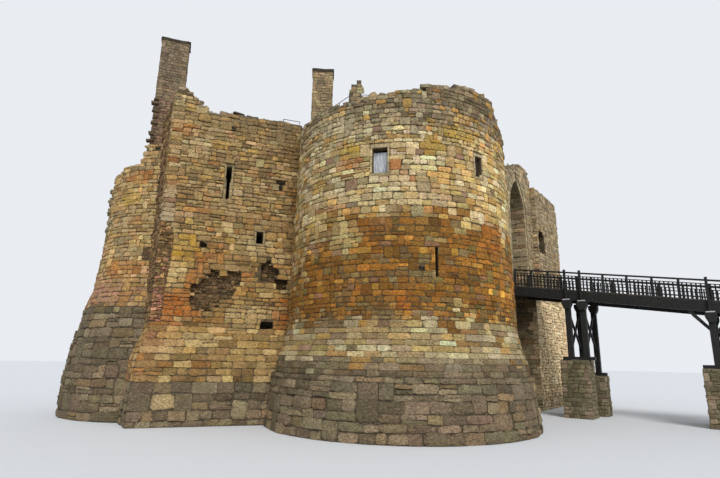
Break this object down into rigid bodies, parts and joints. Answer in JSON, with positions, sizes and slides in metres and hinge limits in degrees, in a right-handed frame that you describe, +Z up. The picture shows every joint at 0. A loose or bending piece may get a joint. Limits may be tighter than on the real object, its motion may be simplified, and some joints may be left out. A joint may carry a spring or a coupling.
{
  "type": "ruined castle keep with round drum tower, gate arch and timber bridge",
  "caption": "Ruined stone castle keep: big round drum tower beside a square tower, small round tower with tall chimney, and an arched gatehouse reached by a dark timber bridge.",
  "frame": {"origin": "centre of the big drum tower at the level of the lowest foot of the walls, on the flat underside of its footing", "axes": "+X out from the gate front along the bridge, +Y along the gate front away from the drum, +Z up"},
  "size_m": [37.9998, 29.4999, 21.39],
  "materials": {
    "footing_stone": "rough-cut dark footing stone",
    "drum_stone": "coursed tan and orange sandstone, weathered",
    "parapet_stone": "rough grey-brown rubble",
    "chimney_stone": "small brown-grey rubble",
    "cap_stone": "dark weathered slab",
    "square_stone": "squared tan and ochre sandstone, weathered",
    "west_stone": "ochre and pink sandstone rubble",
    "gate_stone": "grey-tan sandstone rubble",
    "pier_stone": "grey-tan squared rubble",
    "paving_stone": "worn flagstones",
    "bridge_timber": "black-stained timber, matt",
    "deck_timber": "dark weathered boards",
    "railing_metal": "thin dull galvanised bar",
    "pale_board": "pale blue-grey weathered board"
  },
  "bodies": {
    "root": {"drum_footing": "footing_stone", "drum_plinth": "drum_stone", "drum_lower_wall_a": "drum_stone", "drum_lower_wall_b": "drum_stone", "drum_slit_wall": "drum_stone", "drum_upper_wall_a": "drum_stone", "drum_upper_wall_b": "drum_stone", "drum_window_walls": "drum_stone", "drum_window_board": "pale_board", "drum_upper_floor": "paving_stone", "drum_roof_deck": "paving_stone", "drum_parapet_a": "parapet_stone", "drum_parapet_b": "parapet_stone", "drum_chimney": "chimney_stone", "stair_head_wall": "chimney_stone", "square_footing": "footing_stone", "square_front_wall": "square_stone", "square_front_openings": "square_stone", "square_return_wall": "square_stone", "square_rear_wall": "square_stone", "square_floor": "paving_stone", "square_roof_deck": "paving_stone", "west_footing": "footing_stone", "west_wall_a": "west_stone", "west_wall_b": "west_stone", "west_party_wall": "west_stone", "west_top_a": "west_stone", "west_top_b": "west_stone", "west_floor": "paving_stone", "west_chimney_stack": "chimney_stone", "chimney_caps": "cap_stone", "gate_footing": "gate_stone", "gate_pit_wall": "gate_stone", "gate_front_wall": "gate_stone", "gate_arch_head": "gate_stone", "gate_side_walls": "gate_stone", "gate_passage_floor": "paving_stone", "gate_inner_arch": "gate_stone", "far_block_front": "gate_stone", "far_block_window_wall": "gate_stone", "far_block_end_walls": "gate_stone", "far_block_floor": "paving_stone", "bridge_girders": "bridge_timber", "bridge_deck": "deck_timber", "bridge_railing_near": "bridge_timber", "bridge_railing_far": "bridge_timber", "bridge_trestle_gate": "bridge_timber", "bridge_trestle_field": "bridge_timber", "bridge_piers": "pier_stone", "bridge_abutment": "pier_stone", "wall_walk_railing": "railing_metal"}
  },
  "joints": []
}
